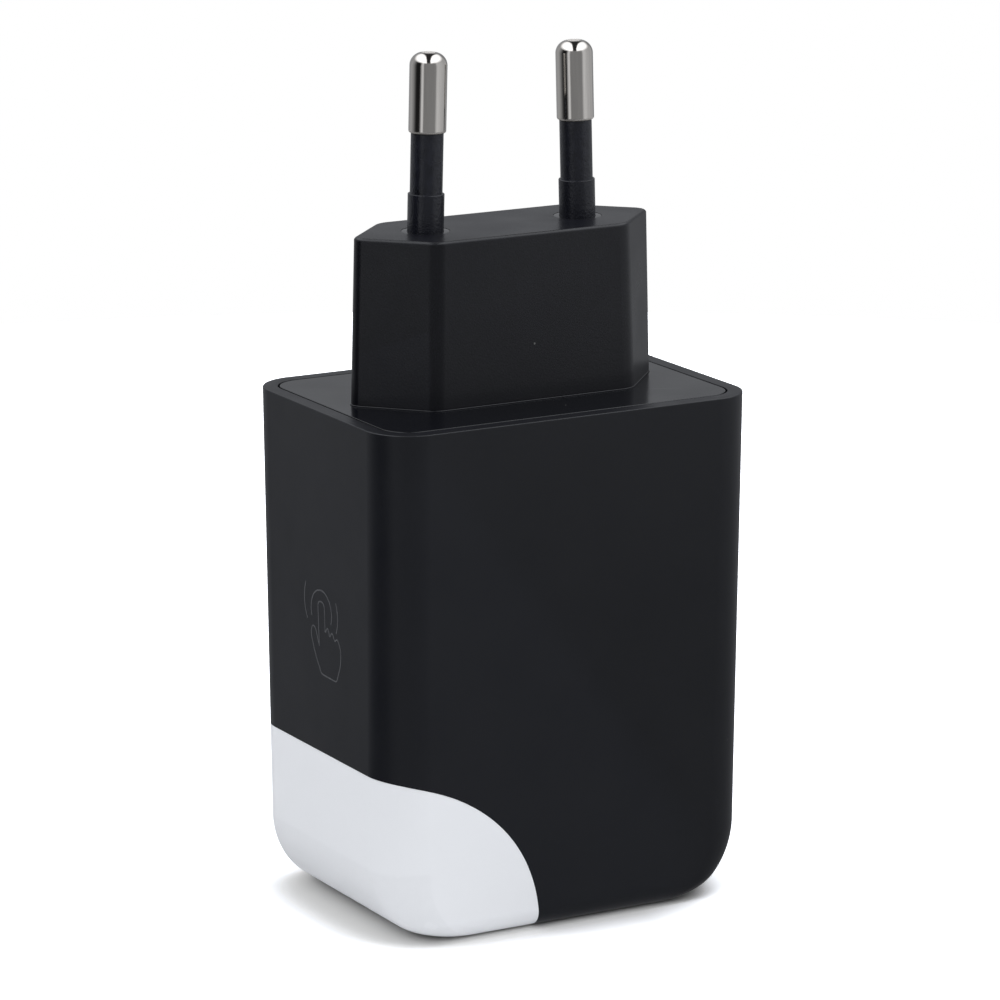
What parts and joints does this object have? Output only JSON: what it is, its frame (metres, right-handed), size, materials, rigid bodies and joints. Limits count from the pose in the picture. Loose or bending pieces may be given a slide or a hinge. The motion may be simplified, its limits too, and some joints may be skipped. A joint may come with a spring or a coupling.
{
  "type": "usb wall charger",
  "caption": "USB wall charger with a fixed round-pin mains plug and a white touch-operated night light wrapped round one lower corner.",
  "frame": {"origin": "centre of the outer end face, where the USB ports open and on which the charger stands", "axes": "+Z towards the mains pins, X along the wide sides with the night light at -X, Y through the thickness"},
  "size_m": [0.0444, 0.0318, 0.0914],
  "materials": {
    "casing_black": "fine satin",
    "cover_black": "semi-gloss",
    "block_black": "fine grain satin",
    "sleeve_black": "satin",
    "diffuser_white": "satin translucent",
    "reflector_white": "matte",
    "nickel": "polished nickel plate",
    "steel": "plated",
    "gold_contact": "plated",
    "port_plastic": "matte",
    "board_green": "solder resist",
    "board_white": "solder resist",
    "chip_black": "matte",
    "can_blue": "shrink sleeve",
    "can_silver": "bare",
    "disc_blue": "coated",
    "fuse_brown": "satin",
    "ferrite": "matte",
    "bobbin_black": "matte",
    "tape_yellow": "tape",
    "clear_film": "film",
    "led_yellow": "moulded",
    "wire_brown": "insulation",
    "wire_blue": "insulation"
  },
  "bodies": {
    "root": {"housing_shell": "casing_black", "mains_cover": "cover_black", "plug_body": "block_black", "pin_left": "nickel", "pin_right": "nickel", "pin_sleeve_left": "sleeve_black", "pin_sleeve_right": "sleeve_black", "light_diffuser": "diffuser_white", "light_reflector": "reflector_white", "lamp_board": "board_white", "touch_spring": "steel", "touch_board": "board_green", "touch_sensor_chip": "chip_black", "mains_board": "board_green", "usb_board": "board_green", "insulation_sheet": "clear_film", "board_connector": "port_plastic", "charge_control_chip": "chip_black", "fuse": "fuse_brown", "bridge_rectifier": "chip_black", "controller_chip": "chip_black", "optocoupler": "chip_black", "output_rectifier": "chip_black", "bulk_capacitor_1": "can_blue", "bulk_capacitor_2": "can_blue", "output_capacitor_1": "can_silver", "output_capacitor_2": "can_silver", "y_capacitor": "disc_blue", "input_choke": "ferrite", "transformer_core_inner": "ferrite", "transformer_core_outer": "ferrite", "transformer_bobbin": "bobbin_black", "transformer_winding": "tape_yellow", "mains_wire_left": "wire_brown", "mains_wire_right": "wire_blue", "lamp_led_1": "led_yellow", "lamp_led_2": "led_yellow", "lamp_led_3": "led_yellow", "lamp_led_4": "led_yellow", "usb_port_shell_1": "steel", "usb_port_tongue_1": "port_plastic", "usb_contact_1_1": "gold_contact", "usb_contact_1_2": "gold_contact", "usb_contact_1_3": "gold_contact", "usb_contact_1_4": "gold_contact", "usb_port_shell_2": "steel", "usb_port_tongue_2": "port_plastic", "usb_contact_2_1": "gold_contact", "usb_contact_2_2": "gold_contact", "usb_contact_2_3": "gold_contact", "usb_contact_2_4": "gold_contact"}
  },
  "joints": []
}
